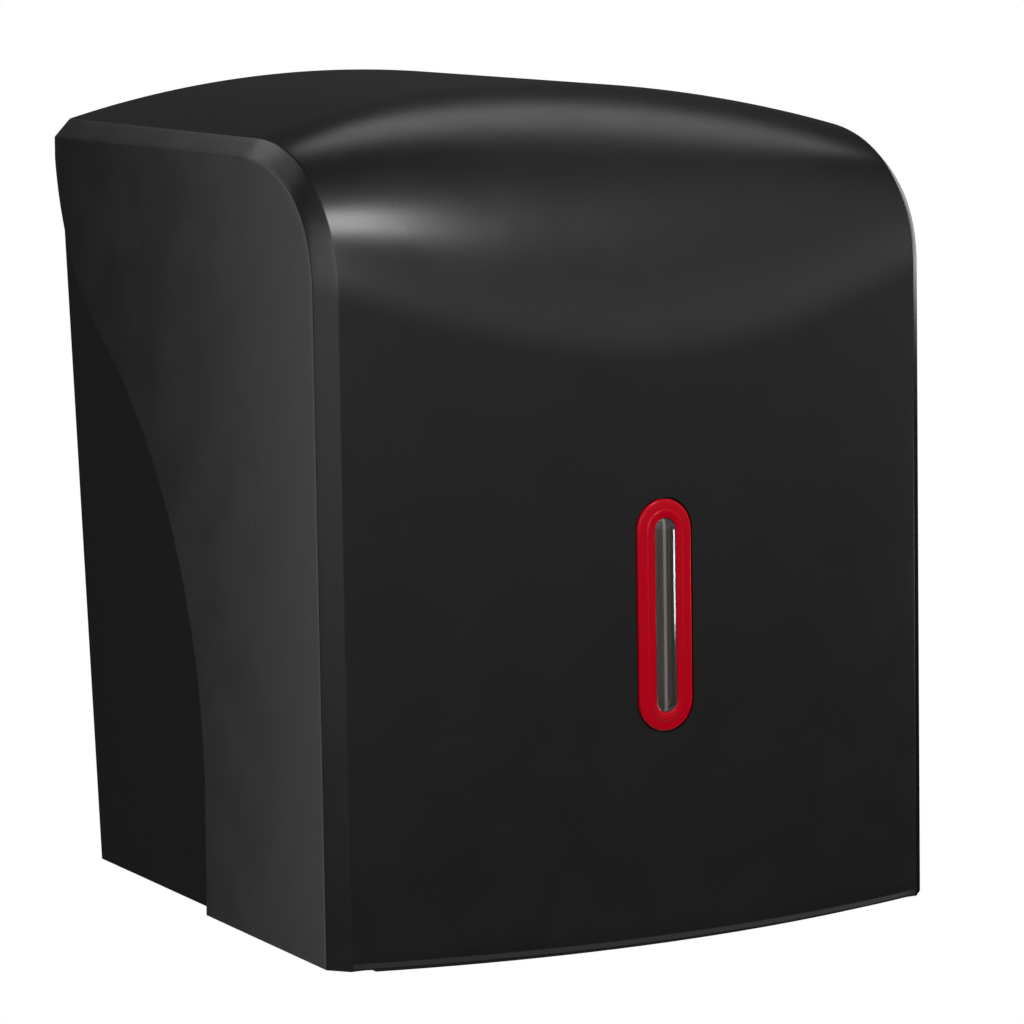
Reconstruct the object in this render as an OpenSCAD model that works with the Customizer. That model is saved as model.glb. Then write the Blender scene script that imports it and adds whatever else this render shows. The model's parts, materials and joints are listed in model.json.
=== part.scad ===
// Wall dispenser for centrefeed paper rolls, in millimetres.
// X runs to the right as seen from the front, Y into the wall and Z up.
// The origin is the centre of the four wall screws, on the wall.

/* [Cover] */
// Width of the cover over its flat sides
cover_w = 250; // [236:1:280]
// Depth of the cover's sides at their lower edge, measured from the wall
side_depth = 224; // [218:1:250]
// Height of the cover's sides
side_h = 278; // [268:1:310]
// Wall of the cover
cover_wall = 2.6; // [2:0.1:3.2]
// Lean of the front, back towards the wall, in degrees
front_lean = 1.8; // [0.6:0.1:3]
// Radius between front and top, along the sides
corner_r = 46.5; // [38:0.5:56]
// Bevel between the sides and the front, measured across the front
bevel_across = 6.4; // [4:0.1:9]
// Rise of this bevel, from the side to the front
bevel_rise = 6.8; // [4:0.1:9]
// Rise of the bowed front and top, from the bevel to the middle
bow = 16.4; // [10:0.2:24]
// Gap between the cover's rear edges and the wall
wall_gap = 1; // [0.5:0.1:2]

/* [Swept side edge] */
// Depth from the wall to the straight, lower stretch of the side's rear edge
sweep_depth = 128.3; // [118:0.1:138]
// Height of this straight stretch
sweep_straight = 40; // [30:1:50]
// Radius of the arc above it
sweep_r = 200; // [190:1:212]
// Height above the side at which the upper arc would meet the wall
sweep_over = 6; // [2:1:12]

/* [Window] */
// Height of the window's centre above the cover's lower edge
window_h = 117.4; // [90:0.2:150]
// Width of the red ring
ring_w = 23.4; // [21:0.2:28]
// Length of the red ring
ring_l = 83.4; // [76:0.2:96]
// Width of the ring's opening
opening_w = 9; // [7:0.2:10]
// Length of the ring's opening
opening_l = 69.4; // [64:0.2:72]
// Depth of the recess that the ring lies in
ring_recess = 1.8; // [1.4:0.1:2.2]
// Height of the ring above the front
ring_proud = 0.3; // [0.1:0.1:0.8]
// Thickness of the cover's pad behind the ring
pad_t = 2.4; // [2:0.1:3.4]
// Thickness of the plate that holds ring and lens from behind
retainer_t = 2; // [1.6:0.1:3]

/* [Rear housing] */
// Wall of the housing's sides and floor
housing_wall = 2.6; // [2.2:0.1:3.2]
// Thickness of the housing's back plate
back_t = 3; // [2.6:0.1:4]
// Depth of the housing's floor below the cover's lower edge
housing_drop = 5.4; // [4:0.2:8]
// Lean of the housing's sides, inwards towards the floor, in degrees
housing_slant = 2.8; // [2:0.1:3.2]
// Gap between the housing and the inside of the cover
cover_gap = 0.7; // [0.5:0.1:1]
// How far the housing's sides run on behind the cover's swept edge
sweep_lap = 22; // [16:1:28]

/* [Wall screws] */
// Height of the screw pattern's centre above the cover's lower edge
wall_screw_h = 140; // [130:1:150]
// Distance between the screw holes across
wall_screw_x = 140; // [120:1:150]
// Distance between the screw holes up and down
wall_screw_z = 150; // [130:1:156]
// Diameter of the screw holes
wall_screw_d = 5.5; // [4.5:0.1:6.5]

/* [Hinge] */
// Distance of the hinge axis behind the cover's sides' front edge
hinge_setback = 38; // [34:1:44]
// Height of the hinge axis above the cover's lower edge
hinge_h = 14; // [13:0.5:18]
// Diameter of the hinge pins
pin_d = 6; // [5:0.2:7]
// Wall of the hinge bushes
bush_wall = 2; // [1.5:0.1:2.2]
// Opening angle of the cover, in degrees
cover_open = 85; // [70:1:90]

/* [Lock] */
// Distance of the lock below the top of the cover's sides
lock_drop = 42; // [38:1:50]
// Depth of the lock, measured from the wall
lock_depth = 72; // [66:1:84]
// Diameter of the lock's barrel
barrel_d = 18; // [16:0.5:20]
// Diameter of the plug that the key turns
plug_d = 12; // [10:0.5:13]
// Length of the barrel inside the cover
barrel_l = 17; // [15:0.5:20]
// Reach of the cam, from the plug's axis to its tip
cam_reach = 35; // [33:0.5:38]
// Thickness of the cam
cam_t = 3; // [2:0.2:4]

/* [Roll shelf and outlet] */
// Depth of the outlet's centre, measured from the wall
nozzle_depth = 108; // [102:1:114]
// Thickness of the shelf
shelf_t = 2.5; // [2:0.1:3.5]
// Gap between the shelf's front edge and the cover
shelf_gap = 7; // [5:0.5:10]
// Diameter of the nozzle's neck
neck_d = 68; // [60:1:74]
// Diameter of the nozzle's flange
flange_d = 96; // [88:1:104]
// Diameter of the paper outlet
outlet_d = 28; // [24:0.5:34]
// Length of the nozzle below the housing
nozzle_l = 15; // [13:0.5:18]
// Teeth on the tear ring
tear_teeth = 16; // [10:1:20]

/* [Hidden] */
$fn = 96;

// Running clearance, on the radius, of pins and plugs that turn
run_gap = 0.05;
// Clearance, on each side, of pieces that are seated in a recess
seat_gap = 0.2;
// Overlap of pieces that are joined into one solid, and overrun of cuts
over = 1;

// Bowed section of front and top
bow_chord = cover_w / 2 - bevel_across;
bow_r = (bow_chord * bow_chord + bow * bow) / (2 * bow);
rise = bevel_rise + bow;
bevel_l = sqrt(bevel_across * bevel_across + bevel_rise * bevel_rise);
bow_fn = 480;

// Lean of the front as a large and a small turn, of short sine and cosine, that meets the corner exactly
lean_cos = round(cos(front_lean) * 1e6) / 1e6;
lean_sin = round(sin(acos(lean_cos)) * 1e7) / 1e7;
lean_main = acos(lean_cos);
lean_rest = front_lean - atan2(lean_sin, lean_cos);

// Centre of the corner between front and top, as depth and height
corner_h = side_h - corner_r;
corner_d = side_depth - (corner_r + corner_h * sin(front_lean)) / cos(front_lean);

// Swept rear edge of the cover's sides: a low arc that runs into a high arc, which runs up the wall.
// The high arc is a hair larger than the one that would only touch the low arc.
arc_cross = 0.006;
arc_deep = 10;
sweep_low = [sweep_depth - sweep_r, sweep_straight];
sweep_span = side_h + sweep_over - sweep_straight;
sweep_high_r = (pow(sweep_low.x, 2) + pow(sweep_span, 2) - pow(sweep_r, 2)) / (2 * sweep_depth);
sweep_high = [sweep_high_r, side_h + sweep_over];
sweep_inside = sweep_low + (sweep_high - sweep_low) * (sweep_r - arc_deep) / (sweep_r + sweep_high_r);

// Rear housing
housing_short = 20;
housing_top = side_h - housing_short;
housing_low = -housing_drop;
floor_top = housing_low + housing_wall;
housing_top_half = cover_w / 2 - cover_wall - cover_gap;
function housing_half(h) = housing_top_half - (housing_top - h) * tan(housing_slant);
screw_pad_d = 18;
screw_pad_t = 2;
rib_w = 2.4;
rib_h = 4;
rib_end = 10;
// Screws stop this far short of the end of their holes
screw_short = 0.4;

// Hinge, right side: places along X, from the housing outwards
hinge_depth = side_depth - hinge_setback;
pin_r = pin_d / 2;
bush_r = pin_r + run_gap + bush_wall;
boss_wall = 4;
boss_r = bush_r + boss_wall;
boss_l = 10;
boss_proud = 0.3;
boss_out = housing_half(hinge_h + boss_r) + boss_proud;
boss_in = boss_out - boss_l;
bush_flange_t = 1;
bush_flange_w = 2.4;
thrust_gap = 0.3;
cover_in = cover_w / 2 - cover_wall;
cover_boss_in = boss_out + bush_flange_t + thrust_gap;
cover_boss_wall = 5;
cover_boss_r = pin_r + cover_boss_wall;
pin_short = 1.4;
pin_end = cover_in - pin_short;
pin_head_w = 2.5;
pin_head_r = pin_r + pin_head_w;
pin_head_t = 2;
foot_edge = 3;
foot_front = hinge_depth + boss_r + foot_edge;

// Stop pegs of the hinge: they meet one degree past the opening angle
peg_r = 2.5;
peg_past = 1;
peg_clear = 4;
peg_orbit = cover_boss_r + 2 * peg_r;
peg_meet = 2 * asin(peg_r / peg_orbit);
cover_peg_at = 90 - peg_meet - cover_open - peg_past;
foot_top = hinge_h + peg_orbit + 2 * peg_r;

// Window stack, measured outwards from the front's surface
front_mid = side_depth + rise / cos(front_lean);
stack_back = -cover_wall - pad_t;
pad_edge = 6;
side_ledge = 4.4;
end_ledge = 2;
neck_w = ring_w - 2 * side_ledge;
neck_l = ring_l - 2 * end_ledge;
dish_wall = 0.8;
lens_lip = 1.2;
lens_t = 1.8;
dome_over = 0.6;
dome_sink = 0.2;
retainer_side = 7.5;
retainer_end = 4.5;
retainer_lap = 0.5;
stack_screw_at = (opening_l / 2 + lens_lip + neck_l / 2) / 2;
stack_screw_r = 1.1;
stack_screw_l = 3;
stack_head_r = 2.3;
stack_head_t = 1.4;

// Lock, measured outwards from the cover's right side
lock_h = side_h - lock_drop;
barrel_r = barrel_d / 2;
plug_r = plug_d / 2;
lock_flange_r = barrel_r + 2;
lock_flange_t = 1.5;
plug_head_w = 1.2;
plug_head_r = plug_r + plug_head_w;
plug_head_t = 0.9;
plug_sink = 0.1;
plug_face = lock_flange_t - plug_sink;
plug_square = plug_d * 0.55;
key_w = 2.2;
key_l = plug_d * 2 / 3;
key_deep = 6;
nut_wall = 3;
nut_across = barrel_d + 2 * nut_wall;
nut_r = nut_across / 2 / cos(30);
nut_t = 4;
nut_room = 2;
cam_back = -barrel_l - over - cam_t;
cam_half = 5;
cam_hub_wall = 2;
cam_hub_r = plug_r + cam_hub_wall;
nose_w = 5;
nose_h = 7;
cam_screw_r = 1.6;
cam_screw_l = 8;
cam_head_r = 4.5;
cam_head_t = 2;

// Strike plate that the cam hooks into
strike_t = 2;
strike_x = cover_w / 2 + cam_back + cam_t / 2;
strike_w = 20;
strike_pad = 6;
strike_gap = 1;
strike_h = lock_h + cam_half + strike_gap;
strike_foot = 18;
strike_back = back_t + strike_pad;
slot_side = 3;
slot_end = 1.5;
slot_w = cam_t + 2 * slot_side;
slot_front = lock_depth - (cam_reach - nose_w) + slot_end;
slot_rear = lock_depth - sqrt(pow(cam_reach, 2) + pow(cam_half + nose_h, 2)) - strike_gap;
strike_tip = 10;
strike_front = slot_front + strike_tip;
strike_screw_at = 5;
strike_screw_drop = strike_foot * 0.6;
strike_screw_r = 1.5;
strike_screw_l = 5;

// Roll shelf and outlet, heights above the cover's lower edge
shelf_low = floor_top;
shelf_top = shelf_low + shelf_t;
shelf_edge = 0.6;
shelf_half = housing_half(floor_top) - housing_wall - shelf_edge;
shelf_screw_in = 12;
shelf_screw_x = shelf_half - shelf_screw_in;
shelf_screw_rear = 26;
shelf_screw_back = 14;
shelf_screw_front = hinge_depth - shelf_screw_back;
shelf_screw_r = 1.5;
shelf_screw_l = shelf_t + housing_wall - screw_short;
screw_head_r = 3;
screw_head_t = 1.8;
ring_rib_out = 14;
ring_rib_r = flange_d / 2 + ring_rib_out;
ring_rib_w = 2.4;
ring_rib_h = 3;
neck_r = neck_d / 2;
flange_r = flange_d / 2;
flange_t = 2;
nozzle_wall = 2.4;
outlet_r = outlet_d / 2;
nozzle_low = housing_low - nozzle_l;
nozzle_round = 6;
nozzle_step = 1;
collar_t = 4;
collar_w = 8;
collar_r = neck_r + collar_w;
collar_grips = 12;
grip_r = 3;
grip_out = 1;
tear_t = 3;
tear_w = 2;
tooth_l = 2.4;
tooth_root = 0.5;
tooth_fill = 0.8;

// Black satin plastic of cover and housing
module black_plastic() { color([0.09, 0.09, 0.095]) children(); }

// Plain steel of pins and screws
module steel() { color([0.62, 0.63, 0.65]) children(); }

// Carries the whole part down so that the wall screws' centre is the origin
module on_wall() { translate([0, 0, -wall_screw_h]) children(); }

// Extrudes an outline of depth and height across the width
module across(w) { rotate([90, 0, -90]) linear_extrude(w, center = true) children(); }

// Extrudes an outline of width and height forward, from the wall
module forward(l) { rotate([90, 0, 0]) linear_extrude(l) children(); }

// Extrudes an outline of width and depth upwards
module upward(l) { mirror([0, 1, 0]) linear_extrude(l) children(); }

// Outline with round ends, standing upright
module obround(w, l) {
    square([w, l - w], center = true);
    for (s = [-1, 1]) translate([0, s * (l - w) / 2]) circle(w / 2);
}

// Bowed and bevelled section across front or top, drawn in from the outside by a wall
module cover_section(wall) {
    half = cover_w / 2 - wall;
    deep = 2 * corner_r;
    bevel_peak = (cover_w / 2 * bevel_rise - wall * bevel_l) / bevel_across;
    bevel_foot = (bevel_peak + deep) * bevel_across / bevel_rise;
    intersection() {
        translate([-half, -corner_r]) square([2 * half, corner_r + rise + over]);
        translate([0, rise - bow_r]) circle(bow_r - wall, $fn = bow_fn);
        polygon([[0, bevel_peak], [-bevel_foot, -deep], [bevel_foot, -deep]]);
    }
}

// Solid form of the cover: the section runs up the front, round the corner and back to the wall
module cover_form(wall, past) {
    long = 2 * (side_depth + side_h);
    middle = corner_r / 2;
    intersection() {
        union() {
            translate([0, -corner_d, corner_h]) {
                rotate([-lean_main, 0, 0]) rotate([-lean_rest, 0, 0]) rotate([0, 0, 180])
                    translate([0, 0, -long]) linear_extrude(long)
                        translate([0, corner_r]) cover_section(wall);
                rotate([90, 0, -90]) rotate_extrude(angle = 90 - front_lean, start = front_lean)
                    translate([corner_r, 0]) rotate(-90) cover_section(wall);
                rotate([90, 0, 180]) linear_extrude(long) translate([0, corner_r]) cover_section(wall);
            }
            across(cover_w - 2 * wall) polygon([
                [-long, -long], [corner_d + middle, -long],
                [corner_d + middle, corner_h + middle], [-long, corner_h + middle]
            ]);
        }
        translate([-cover_w, -long, -past]) cube([2 * cover_w, long - wall_gap + past, long]);
    }
}

// Outline of depth and height behind the cover's swept rear edge
module behind_sweep() {
    translate([-over, -4 * housing_drop]) square([sweep_depth + over, sweep_straight + 4 * housing_drop]);
    translate(sweep_low) circle(sweep_r, $fn = bow_fn);
    difference() {
        polygon([[-over, sweep_inside.y], sweep_inside, sweep_high, [-over, sweep_high.y]]);
        translate(sweep_high) circle(sweep_high_r + arc_cross, $fn = bow_fn);
    }
}

// Places the window's pieces: X across, Y up the front, Z outwards from its surface
module at_window() {
    translate([0, window_h * tan(front_lean) - front_mid, window_h])
        rotate([90 - front_lean, 0, 0]) children();
}

// Places pieces on the hinge axis of the right side, along X
module on_hinge() { translate([0, -hinge_depth, hinge_h]) rotate([0, 90, 0]) children(); }

// Places a stop peg at an angle about the hinge, measured from the wall upwards
module at_peg(angle) {
    translate([0, peg_orbit * cos(angle) - hinge_depth, peg_orbit * sin(angle) + hinge_h])
        rotate([0, 90, 0]) children();
}

// Places the lock's pieces: Z outwards from the cover's right side, X down, Y to the wall
module at_lock() { translate([cover_w / 2, -lock_depth, lock_h]) rotate([0, 90, 0]) children(); }

// Draws a piece on the right side and again on the left
module both_sides() {
    children();
    mirror([1, 0, 0]) children();
}

// Front cover with its hinge bosses, stop pegs and the pad behind the window
module front_cover() {
    black_plastic() difference() {
        union() {
            difference() {
                cover_form(0, 0);
                cover_form(cover_wall, over);
                across(cover_w + 2 * over) behind_sweep();
            }
            at_window() translate([0, 0, stack_back]) linear_extrude(pad_t + cover_wall / 2)
                obround(ring_w + 2 * pad_edge, ring_l + 2 * pad_edge);
            both_sides() {
                on_hinge() translate([0, 0, cover_boss_in])
                    cylinder(r = cover_boss_r, h = cover_in - cover_boss_in + cover_wall / 2);
                at_peg(cover_peg_at) translate([0, 0, cover_boss_in])
                    cylinder(r = peg_r, h = cover_in - cover_boss_in + cover_wall / 2);
            }
        }
        at_window() {
            translate([0, 0, -ring_recess]) linear_extrude(ring_recess + over)
                obround(ring_w + 2 * seat_gap, ring_l + 2 * seat_gap);
            translate([0, 0, stack_back - over]) linear_extrude(-stack_back)
                obround(neck_w + 2 * seat_gap, neck_l + 2 * seat_gap);
        }
        both_sides() on_hinge() translate([0, 0, cover_boss_in - over])
            cylinder(r = pin_r, h = pin_end - cover_boss_in + over);
        at_lock() translate([0, 0, -cover_wall - over])
            cylinder(r = barrel_r + seat_gap, h = cover_wall + 2 * over);
    }
}

// Red ring with round ends: a flange in the recess, a dished middle and a neck through the cover
module window_bezel() {
    dish_w = (ring_w + opening_w) / 2 - 2 * dish_wall;
    dish_l = opening_l + dish_w - opening_w;
    color([0.66, 0.02, 0.08]) at_window() difference() {
        union() {
            translate([0, 0, -ring_recess]) linear_extrude(ring_recess + ring_proud)
                obround(ring_w, ring_l);
            translate([0, 0, stack_back + seat_gap]) linear_extrude(-stack_back - ring_recess)
                obround(neck_w, neck_l);
        }
        translate([0, 0, -ring_recess / 2]) linear_extrude(ring_recess + over)
            obround(dish_w, dish_l);
        translate([0, 0, stack_back - over]) linear_extrude(over - stack_back + over)
            obround(opening_w, opening_l);
        translate([0, 0, stack_back - over]) linear_extrude(lens_t + over)
            obround(opening_w + 2 * lens_lip, opening_l + 2 * lens_lip);
        for (s = [-1, 1]) translate([0, s * stack_screw_at, stack_back - over])
            cylinder(r = stack_screw_r, h = stack_screw_l + over);
    }
}

// Clear lens: a plate with a domed bar that fills the ring's opening
module window_lens() {
    lip = lens_lip - seat_gap;
    dome_w = opening_w - 2 * seat_gap;
    dome_l = opening_l - 2 * seat_gap;
    dome_r = dome_w / 2 + dome_over;
    color([0.85, 0.87, 0.88, 0.4]) at_window() {
        translate([0, 0, stack_back]) linear_extrude(lens_t)
            obround(opening_w + 2 * lip, opening_l + 2 * lip);
        intersection() {
            translate([0, 0, stack_back + lens_t / 2]) linear_extrude(-stack_back)
                obround(dome_w, dome_l);
            translate([0, 0, -dome_r - dome_sink]) union() {
                rotate([90, 0, 0]) cylinder(r = dome_r, h = dome_l - dome_w, center = true);
                for (s = [-1, 1]) translate([0, s * (dome_l - dome_w) / 2, 0]) sphere(dome_r);
            }
        }
    }
}

// Plate behind the window, screwed into the ring's neck
module window_retainer() {
    black_plastic() at_window() translate([0, 0, stack_back - retainer_t]) difference() {
        linear_extrude(retainer_t) obround(neck_w + 2 * retainer_side, neck_l + 2 * retainer_end);
        translate([0, 0, -over]) linear_extrude(retainer_t + 2 * over)
            obround(opening_w - 2 * retainer_lap, opening_l - 2 * retainer_lap);
        for (s = [-1, 1]) translate([0, s * stack_screw_at, -over])
            cylinder(r = stack_screw_r, h = retainer_t + 2 * over);
    }
}

// Two small screws that draw the ring's neck to the retainer
module retainer_screws() {
    steel() at_window() for (s = [-1, 1]) translate([0, s * stack_screw_at, stack_back - retainer_t]) {
        translate([0, 0, -stack_head_t]) cylinder(r = stack_head_r, h = stack_head_t);
        cylinder(r = stack_screw_r, h = retainer_t + stack_screw_l - screw_short);
    }
}

// Headed pin of the right hinge: its head lies inside the housing
module hinge_pin() {
    head = boss_in - thrust_gap - pin_head_t;
    steel() on_hinge() translate([0, 0, head]) {
        cylinder(r = pin_head_r, h = pin_head_t);
        cylinder(r = pin_r, h = pin_end - head);
    }
}

// Flanged bush of the right hinge
module hinge_bush() {
    color([0.86, 0.85, 0.82]) on_hinge() difference() {
        union() {
            translate([0, 0, boss_in]) cylinder(r = bush_r, h = boss_l);
            translate([0, 0, boss_out]) cylinder(r = bush_r + bush_flange_w, h = bush_flange_t);
        }
        translate([0, 0, boss_in - over])
            cylinder(r = pin_r + run_gap, h = boss_l + bush_flange_t + 2 * over);
    }
}

// Lock case: a flange outside the cover and a barrel through it
module lock_case() {
    color([0.72, 0.73, 0.75]) at_lock() difference() {
        union() {
            cylinder(r = lock_flange_r, h = lock_flange_t);
            translate([0, 0, -barrel_l]) cylinder(r = barrel_r, h = barrel_l + over);
        }
        translate([0, 0, -barrel_l - over])
            cylinder(r = plug_r + run_gap, h = barrel_l + lock_flange_t + 2 * over);
        translate([0, 0, lock_flange_t - plug_head_t - 2 * run_gap])
            cylinder(r = plug_head_r + run_gap, h = plug_head_t + over);
    }
}

// Hexagon nut that clamps the lock case to the cover's side
module lock_nut() {
    steel() at_lock() translate([0, 0, -cover_wall - nut_t]) difference() {
        cylinder(r = nut_r, h = nut_t, $fn = 6);
        translate([0, 0, -over]) cylinder(r = barrel_r + run_gap, h = nut_t + 2 * over);
    }
}

// Plug that the key turns, with a square tail for the cam
module lock_plug() {
    color([0.78, 0.79, 0.81]) at_lock() difference() {
        union() {
            translate([0, 0, -barrel_l - over]) cylinder(r = plug_r, h = barrel_l + over + plug_face);
            translate([0, 0, plug_face - plug_head_t + run_gap])
                cylinder(r = plug_head_r, h = plug_head_t - run_gap);
            translate([-plug_square / 2, -plug_square / 2, cam_back])
                cube([plug_square, plug_square, cam_t + over]);
        }
        translate([-key_l / 2, -key_w / 2, plug_face - key_deep]) cube([key_l, key_w, key_deep + over]);
        translate([0, 0, cam_back - over]) cylinder(r = cam_screw_r, h = cam_screw_l + over);
    }
}

// Hooked cam: it hangs down when open, and hooks into the strike plate after a quarter turn
module lock_cam() {
    steel() at_lock() translate([0, 0, cam_back]) difference() {
        linear_extrude(cam_t) {
            circle(cam_hub_r);
            translate([0, -cam_half]) square([cam_reach, 2 * cam_half]);
            translate([cam_reach - nose_w, -cam_half - nose_h]) square([nose_w, nose_h + over]);
        }
        translate([-plug_square / 2, -plug_square / 2, -over])
            cube([plug_square, plug_square, cam_t + 2 * over]);
    }
}

// Screw that holds the cam on the plug's tail
module cam_screw() {
    steel() at_lock() translate([0, 0, cam_back]) {
        translate([0, 0, -cam_head_t]) cylinder(r = cam_head_r, h = cam_head_t);
        cylinder(r = cam_screw_r, h = cam_screw_l - screw_short);
    }
}

// Outline of width and height between the housing's sides, which lean below and stand upright above
module housing_outline(wall, low) {
    high = side_h + 2 * rise;
    foot = housing_half(low) - wall;
    head = housing_top_half - wall;
    polygon([
        [-foot, low], [foot, low], [head, housing_top],
        [head, high], [-head, high], [-head, housing_top]
    ]);
}

// Outline of depth and height of the housing's sides, along the cover's swept edge and out to the hinge
module housing_side() {
    intersection() {
        union() {
            translate([sweep_lap, 0]) behind_sweep();
            translate([-over, housing_low]) square([sweep_lap + over, housing_top - housing_low]);
            polygon([
                [0, housing_low], [foot_front, housing_low], [foot_front, foot_top],
                [sweep_depth + sweep_lap, sweep_straight * 2], [0, sweep_straight * 2]
            ]);
        }
        translate([-over, housing_low]) square([side_depth, housing_top - housing_low]);
    }
}

// Places something at each wall screw, pointing away from the wall
module at_wall_screws() {
    for (x = [-1, 1], z = [-1, 1])
        translate([x * wall_screw_x / 2, 0, wall_screw_h + z * wall_screw_z / 2])
            rotate([90, 0, 0]) children();
}

// Places something at each strike plate screw, pointing to the wall
module at_strike_screws(depth) {
    for (s = [-1, 1])
        translate([strike_x + s * strike_screw_at, -depth, strike_h - strike_screw_drop])
            rotate([-90, 0, 0]) children();
}

// Places something at each shelf screw, pointing up
module at_shelf_screws(h) {
    for (x = [-1, 1], d = [shelf_screw_rear, shelf_screw_front])
        translate([x * shelf_screw_x, -d, h]) children();
}

// Rear housing: back plate, leaning sides and floor, with hinge bosses and stop pegs
module rear_housing() {
    black_plastic() difference() {
        union() {
            forward(back_t) intersection() {
                housing_outline(0, housing_low);
                union() {
                    translate([-cover_w, -cover_w]) square([2 * cover_w, cover_w + corner_h + over]);
                    translate([0, side_h]) cover_section(cover_wall + cover_gap);
                }
            }
            intersection() {
                forward(side_depth) difference() {
                    housing_outline(0, housing_low);
                    housing_outline(housing_wall, floor_top);
                }
                across(2 * cover_w) housing_side();
            }
            at_wall_screws() cylinder(d = screw_pad_d, h = back_t + screw_pad_t);
            for (s = [-1, 1])
                translate([s * wall_screw_x / 4 - rib_w / 2, -back_t - rib_h, floor_top + rib_end])
                    cube([rib_w, rib_h + over, housing_top - floor_top - 2 * rib_end]);
            translate([strike_x - strike_w / 2 - over, -strike_back, strike_h - strike_foot - over])
                cube([strike_w + 2 * over, strike_back, strike_foot + strike_t + over]);
            both_sides() {
                on_hinge() translate([0, 0, boss_in]) cylinder(r = boss_r, h = boss_l);
                at_peg(90) translate([0, 0, boss_in])
                    cylinder(r = peg_r, h = cover_in - peg_clear - boss_in);
            }
        }
        at_wall_screws() translate([0, 0, -over])
            cylinder(d = wall_screw_d, h = back_t + screw_pad_t + 2 * over);
        at_strike_screws(strike_back + over) cylinder(r = strike_screw_r, h = strike_screw_l + over);
        both_sides() on_hinge() translate([0, 0, boss_in - over])
            cylinder(r = bush_r, h = boss_l + 2 * over);
        translate([0, -nozzle_depth, housing_low - over])
            cylinder(r = neck_r + seat_gap, h = housing_wall + 2 * over);
        at_shelf_screws(housing_low - over) cylinder(r = shelf_screw_r, h = housing_wall + 2 * over);
        at_lock() translate([0, 0, -barrel_l]) cylinder(r = nut_r + nut_room, h = barrel_l);
    }
}

// Strike plate: a foot on the back plate and a slotted tongue over the cam
module strike_plate() {
    steel() difference() {
        union() {
            translate([strike_x - strike_w / 2, -strike_back - strike_t, strike_h - strike_foot])
                cube([strike_w, strike_t, strike_foot + strike_t]);
            translate([strike_x - strike_w / 2, -strike_front, strike_h])
                cube([strike_w, strike_front - strike_back, strike_t]);
        }
        translate([strike_x - slot_w / 2, -slot_front, strike_h - over])
            cube([slot_w, slot_front - slot_rear, strike_t + 2 * over]);
        at_strike_screws(strike_back + strike_t + over)
            cylinder(r = strike_screw_r, h = strike_t + 2 * over);
    }
}

// Two screws through the strike plate's foot
module strike_screws() {
    steel() at_strike_screws(strike_back + strike_t) {
        translate([0, 0, -screw_head_t]) cylinder(r = screw_head_r, h = screw_head_t);
        cylinder(r = strike_screw_r, h = strike_t + strike_screw_l - screw_short);
    }
}

// Shelf that the roll stands on: its front follows the bowed cover
module roll_shelf() {
    rear = back_t + shelf_edge;
    black_plastic() difference() {
        union() {
            translate([0, 0, shelf_low]) upward(shelf_t) intersection() {
                translate([-shelf_half, rear]) square([2 * shelf_half, 2 * side_depth]);
                translate([0, side_depth + rise - bow_r])
                    circle(bow_r - cover_wall - shelf_gap, $fn = bow_fn);
            }
            translate([0, -nozzle_depth, shelf_low]) difference() {
                cylinder(r = ring_rib_r + ring_rib_w, h = shelf_t + ring_rib_h);
                translate([0, 0, -over]) cylinder(r = ring_rib_r, h = shelf_t + ring_rib_h + 2 * over);
            }
        }
        translate([0, -nozzle_depth, shelf_low - over])
            cylinder(r = neck_r + seat_gap, h = shelf_t + 2 * over);
        at_shelf_screws(shelf_low - over) cylinder(r = shelf_screw_r, h = shelf_t + 2 * over);
    }
}

// Four screws that hold the shelf to the housing's floor
module shelf_screws() {
    steel() at_shelf_screws(shelf_top) {
        cylinder(r = screw_head_r, h = screw_head_t);
        translate([0, 0, -shelf_screw_l])
            cylinder(r = shelf_screw_r, h = shelf_screw_l + screw_head_t / 2);
    }
}

// Outlet nozzle: a flange on the shelf, a neck through the floor and a funnel down to the outlet
module paper_nozzle() {
    throat = nozzle_low + tear_t + nozzle_step;
    funnel_r = neck_r - nozzle_wall;
    flange_top = shelf_top + flange_t;
    collar_low = housing_low - collar_t;
    color([0.16, 0.16, 0.17]) translate([0, -nozzle_depth, 0]) rotate_extrude() polygon([
        [outlet_r, nozzle_low], [outlet_r, throat], [funnel_r, shelf_top],
        [funnel_r + flange_t, flange_top], [flange_r, flange_top], [flange_r, shelf_top],
        [neck_r, shelf_top], [neck_r, collar_low],
        [neck_r - nozzle_round, collar_low - nozzle_step], [outlet_r + nozzle_wall, nozzle_low]
    ]);
}

// Ring nut that draws the nozzle down onto the shelf
module nozzle_collar() {
    color([0.16, 0.16, 0.17]) translate([0, -nozzle_depth, housing_low - collar_t]) difference() {
        cylinder(r = collar_r, h = collar_t);
        translate([0, 0, -over]) cylinder(r = neck_r + run_gap, h = collar_t + 2 * over);
        for (i = [0 : collar_grips - 1]) rotate(i * 360 / collar_grips)
            translate([collar_r + grip_out, 0, -over]) cylinder(r = grip_r, h = collar_t + 2 * over);
    }
}

// Tear ring in the outlet, with teeth that point inwards
module tear_ring() {
    root = outlet_r - tear_w;
    half = tooth_fill * 180 / tear_teeth;
    foot = (root + tooth_root) * [cos(half), sin(half)];
    steel() translate([0, -nozzle_depth, nozzle_low]) linear_extrude(tear_t) {
        difference() {
            circle(outlet_r);
            circle(root);
        }
        for (i = [0 : tear_teeth - 1]) rotate(i * 360 / tear_teeth)
            polygon([foot, [root - tooth_l, 0], [foot.x, -foot.y]]);
    }
}

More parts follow.
